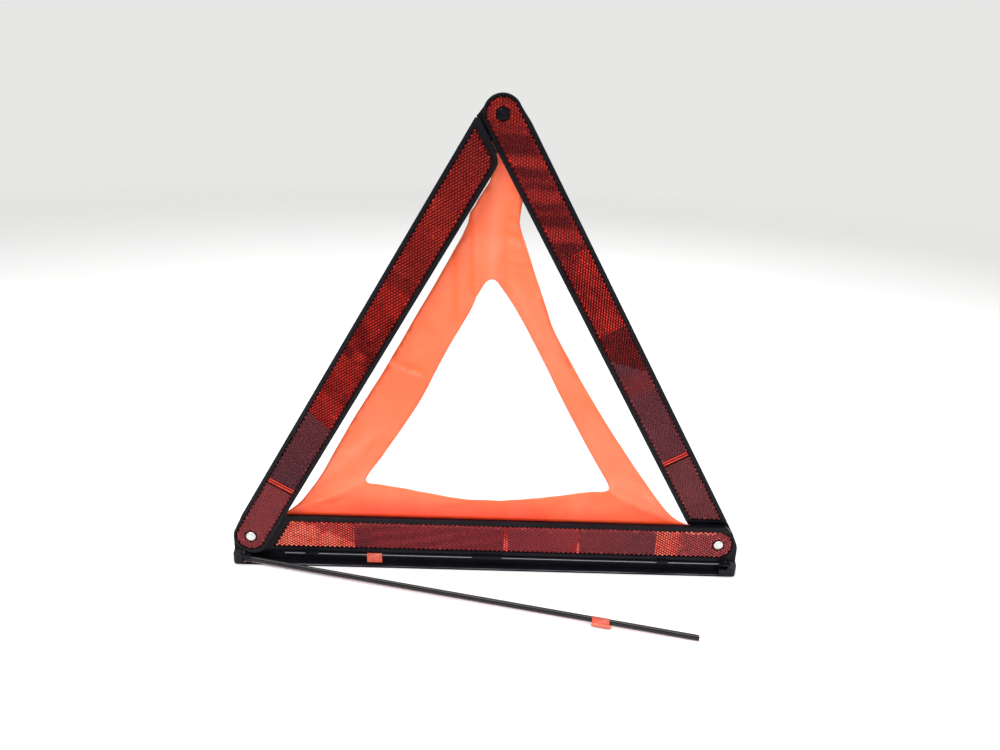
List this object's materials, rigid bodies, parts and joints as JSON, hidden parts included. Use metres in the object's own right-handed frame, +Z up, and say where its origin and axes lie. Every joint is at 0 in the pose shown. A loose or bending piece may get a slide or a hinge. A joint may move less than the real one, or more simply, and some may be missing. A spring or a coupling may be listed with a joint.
{
  "type": "folding warning triangle",
  "caption": "Folding roadside warning triangle: red reflector arms in black trays, an orange fluorescent film with a three-cornered opening, and a base with swing-out steel legs.",
  "frame": {"origin": "on the ground at mid-width, in the plane of the base's front rim", "axes": "+X to the right seen from the front, +Y to the back, +Z up"},
  "size_m": [0.444, 0.1099, 0.3979],
  "materials": {
    "black_plastic": "satin moulded black plastic",
    "red_lens": "clear red reflector lens with a honeycomb of cube corners behind a smooth face",
    "rivet_metal": "bright formed rivet",
    "spacer_plastic": "black nylon",
    "stud_plastic": "glossy black plastic",
    "orange_film": "glossy fluorescent orange film",
    "tab_film": "orange film tab",
    "leg_steel": "dark spring steel strip"
  },
  "bodies": {
    "base": {"base_body": "black_plastic", "base_lens": "red_lens", "left_foot_block": "black_plastic", "right_foot_block": "black_plastic", "left_pivot_rivet": "rivet_metal", "right_pivot_rivet": "rivet_metal", "rivet_washers": "rivet_metal", "arm_spacers": "spacer_plastic", "leg_pins": "rivet_metal", "front_leg_clips": "black_plastic", "rear_leg_clips": "black_plastic", "fluorescent_sheet": "orange_film", "sheet_studs": "black_plastic"},
    "left_arm": {"left_arm_backing": "black_plastic", "left_arm_lens": "red_lens", "left_arm_tongue": "black_plastic"},
    "right_arm": {"right_arm_backing": "black_plastic", "right_arm_lens": "red_lens", "snap_stud": "stud_plastic", "snap_stud_washer": "stud_plastic"},
    "front_left_leg": {"front_left_leg": "leg_steel", "front_left_leg_tab": "tab_film"},
    "front_right_leg": {"front_right_leg": "leg_steel", "front_right_leg_tab": "tab_film"},
    "rear_left_leg": {"rear_left_leg": "leg_steel", "rear_left_leg_tab": "tab_film"},
    "rear_right_leg": {"rear_right_leg": "leg_steel", "rear_right_leg_tab": "tab_film"}
  },
  "joints": [
    {"name": "left_arm_fold", "type": "hinge", "parent": "base", "child": "left_arm", "pos_m": [-0.205, -0.0033, 0.028], "axis": [0, 1, -0.0087], "range_deg": [0, 60], "deforming": ["fluorescent_sheet", "left_arm_tongue"]},
    {"name": "right_arm_fold", "type": "hinge", "parent": "base", "child": "right_arm", "pos_m": [0.205, 0.0091, 0.028], "axis": [0, 1, 0.0087], "range_deg": [-60, 0]},
    {"name": "front_left_leg_swing", "type": "hinge", "parent": "base", "child": "front_left_leg", "pos_m": [-0.213, -0.0029, 0.004], "axis": [0, 0, -1], "range_deg": [-13.8, 76.2]},
    {"name": "front_right_leg_swing", "type": "hinge", "parent": "base", "child": "front_right_leg", "pos_m": [0.213, -0.0009, 0.00925], "axis": [0, 0, 1], "range_deg": [0, 90]},
    {"name": "rear_left_leg_swing", "type": "hinge", "parent": "base", "child": "rear_left_leg", "pos_m": [-0.213, 0.0063, 0.00925], "axis": [0, 0, 1], "range_deg": [0, 90]},
    {"name": "rear_right_leg_swing", "type": "hinge", "parent": "base", "child": "rear_right_leg", "pos_m": [0.213, 0.0083, 0.004], "axis": [0, 0, -1], "range_deg": [0, 90]}
  ],
  "couplings": [
    {"joint": "right_arm_fold", "follows": "left_arm_fold", "ratio": -1}
  ]
}
